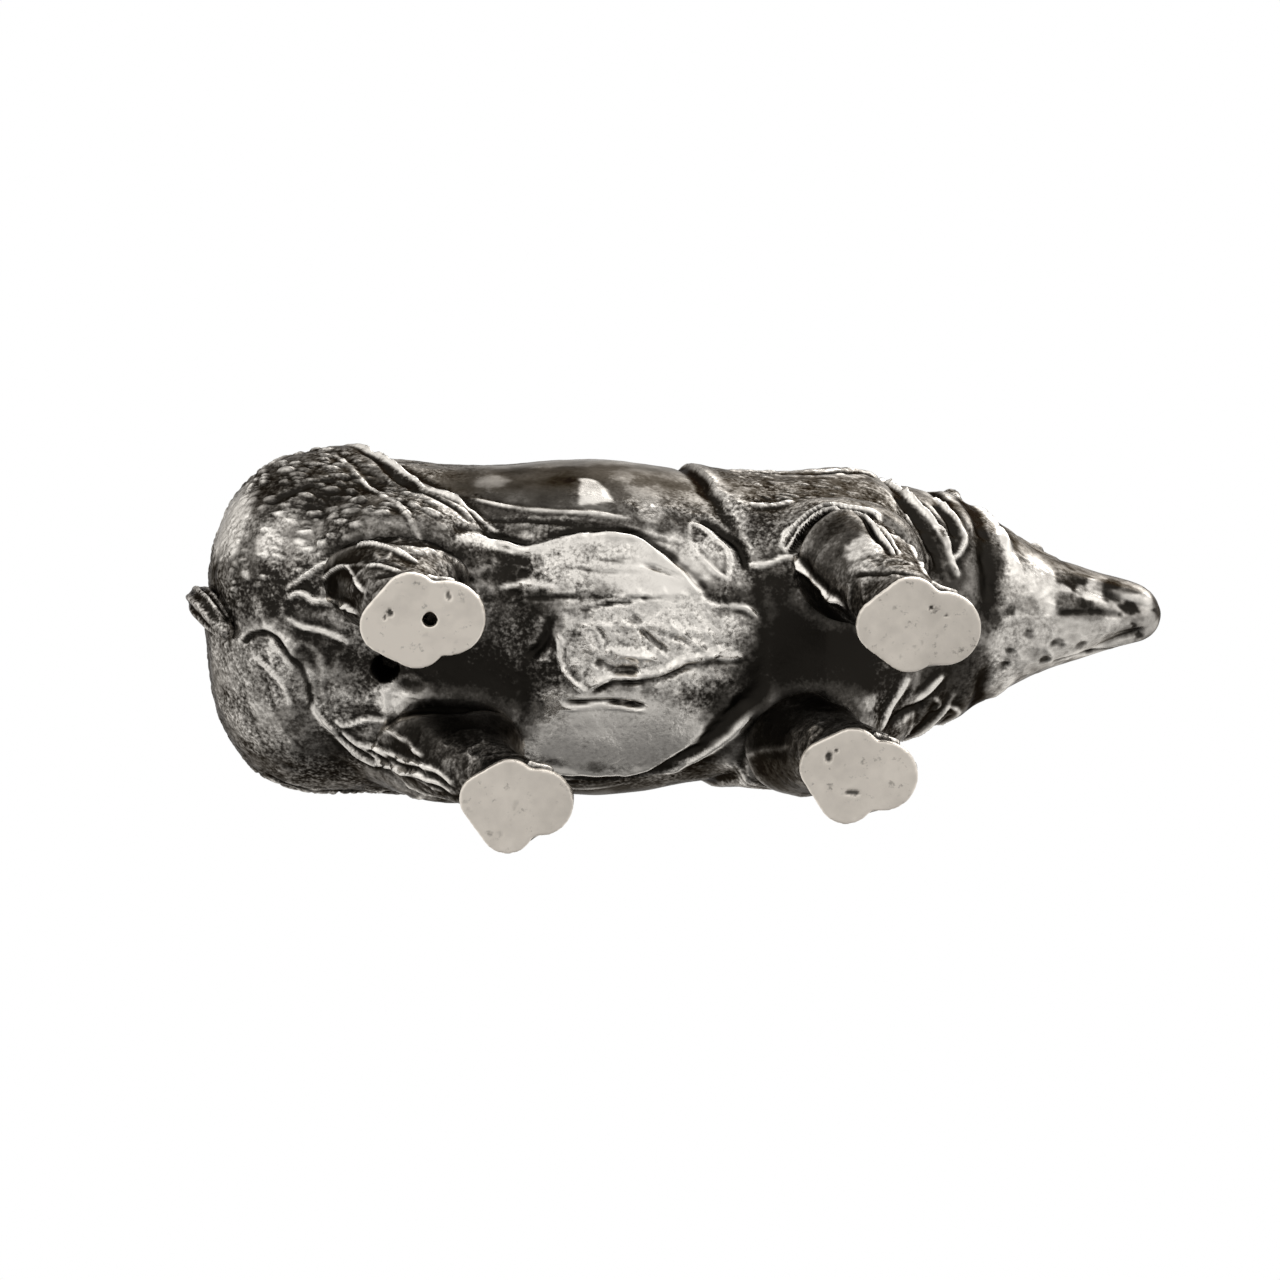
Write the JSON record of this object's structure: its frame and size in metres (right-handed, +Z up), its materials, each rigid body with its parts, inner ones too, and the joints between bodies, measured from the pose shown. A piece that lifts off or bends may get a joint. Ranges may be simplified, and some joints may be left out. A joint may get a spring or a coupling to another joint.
{
  "type": "rhinoceros figurine",
  "caption": "Hollow cast-silver figurine of a walking one-horned rhinoceros, with armour-like skin folds, an oxidised finish and flat polished soles, for standing on a shelf.",
  "frame": {"origin": "on the ground under the middle of the figure's bounding box", "axes": "+X towards the nose, +Y to the animal's left, +Z up"},
  "size_m": [0.1618, 0.0582, 0.0862],
  "materials": {
    "oxidised_silver": "cast silver, darkened in the hollows and rubbed bright on the ridges",
    "polished_silver": "silver plate, filed flat and satin polished"
  },
  "bodies": {
    "root": {"rump_shell": "oxidised_silver", "barrel_shell": "oxidised_silver", "shoulder_shell": "oxidised_silver", "neck_shell": "oxidised_silver", "head_shell": "oxidised_silver", "horn": "oxidised_silver", "ear_left": "oxidised_silver", "ear_right": "oxidised_silver", "tail": "oxidised_silver", "foreleg_left": "oxidised_silver", "foreleg_right": "oxidised_silver", "hindleg_left": "oxidised_silver", "hindleg_right": "oxidised_silver", "foresole_left": "polished_silver", "foresole_right": "polished_silver", "hindsole_left": "polished_silver", "hindsole_right": "polished_silver"}
  },
  "joints": []
}
